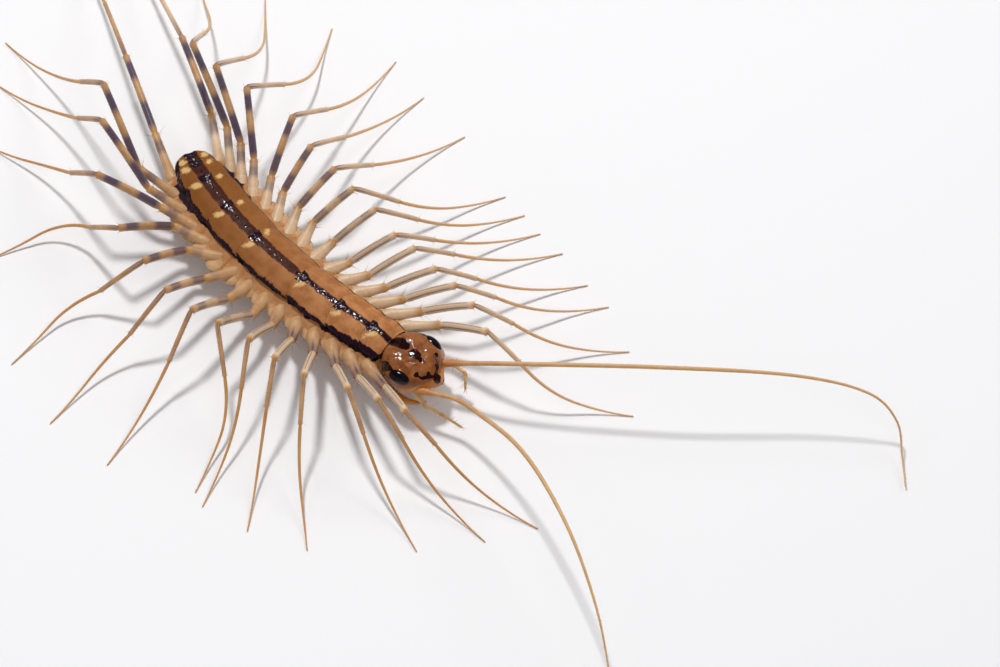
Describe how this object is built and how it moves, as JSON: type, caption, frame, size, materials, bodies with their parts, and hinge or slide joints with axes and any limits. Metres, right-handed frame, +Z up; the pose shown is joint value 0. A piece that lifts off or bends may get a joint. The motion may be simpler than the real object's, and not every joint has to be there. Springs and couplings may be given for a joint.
{
  "type": "house centipede",
  "caption": "Life-size still model of a house centipede standing on long spread legs, with long feelers and trailing rear legs.",
  "frame": {"origin": "on the floor, under the middle of the model's bounding box", "axes": "-Y is the way the head faces, +Y towards the tail, +X the animal's left, +Z up"},
  "size_m": [0.0462, 0.0922, 0.0092],
  "materials": {
    "chitin_plate": "smooth amber-brown shell plates with dark markings, slightly glossy",
    "head_capsule": "glossy amber shell with dark blotches",
    "eye_black": "glossy black faceted eye",
    "soft_flank": "pale, slightly see-through skin between plates and legs",
    "leg_banded": "pale yellow-brown legs with dusky bands and orange joints",
    "feeler": "orange-tan ringed feelers"
  },
  "bodies": {
    "root": {"head": "head_capsule", "mouthparts": "head_capsule", "eye_left": "eye_black", "antenna_left": "feeler", "palp_left": "feeler", "forcipule_left": "head_capsule", "eye_right": "eye_black", "antenna_right": "feeler", "palp_right": "feeler", "forcipule_right": "head_capsule", "trunk_front": "soft_flank", "trunk_middle": "soft_flank", "trunk_rear": "soft_flank", "tergite_1": "chitin_plate", "tergite_2": "chitin_plate", "tergite_3": "chitin_plate", "tergite_4": "chitin_plate", "tergite_5": "chitin_plate", "tergite_6": "chitin_plate", "tergite_7": "chitin_plate", "tergite_8": "chitin_plate", "leg_left_01": "leg_banded", "leg_left_02": "leg_banded", "leg_left_03": "leg_banded", "leg_left_04": "leg_banded", "leg_left_05": "leg_banded", "leg_left_06": "leg_banded", "leg_left_07": "leg_banded", "leg_left_08": "leg_banded", "leg_left_09": "leg_banded", "leg_left_10": "leg_banded", "leg_left_11": "leg_banded", "leg_left_12": "leg_banded", "leg_left_13": "leg_banded", "leg_left_14": "leg_banded", "leg_left_15": "leg_banded", "leg_right_01": "leg_banded", "leg_right_02": "leg_banded", "leg_right_03": "leg_banded", "leg_right_04": "leg_banded", "leg_right_05": "leg_banded", "leg_right_06": "leg_banded", "leg_right_07": "leg_banded", "leg_right_08": "leg_banded", "leg_right_09": "leg_banded", "leg_right_10": "leg_banded", "leg_right_11": "leg_banded", "leg_right_12": "leg_banded", "leg_right_13": "leg_banded", "leg_right_14": "leg_banded", "leg_right_15": "leg_banded"}
  },
  "joints": []
}
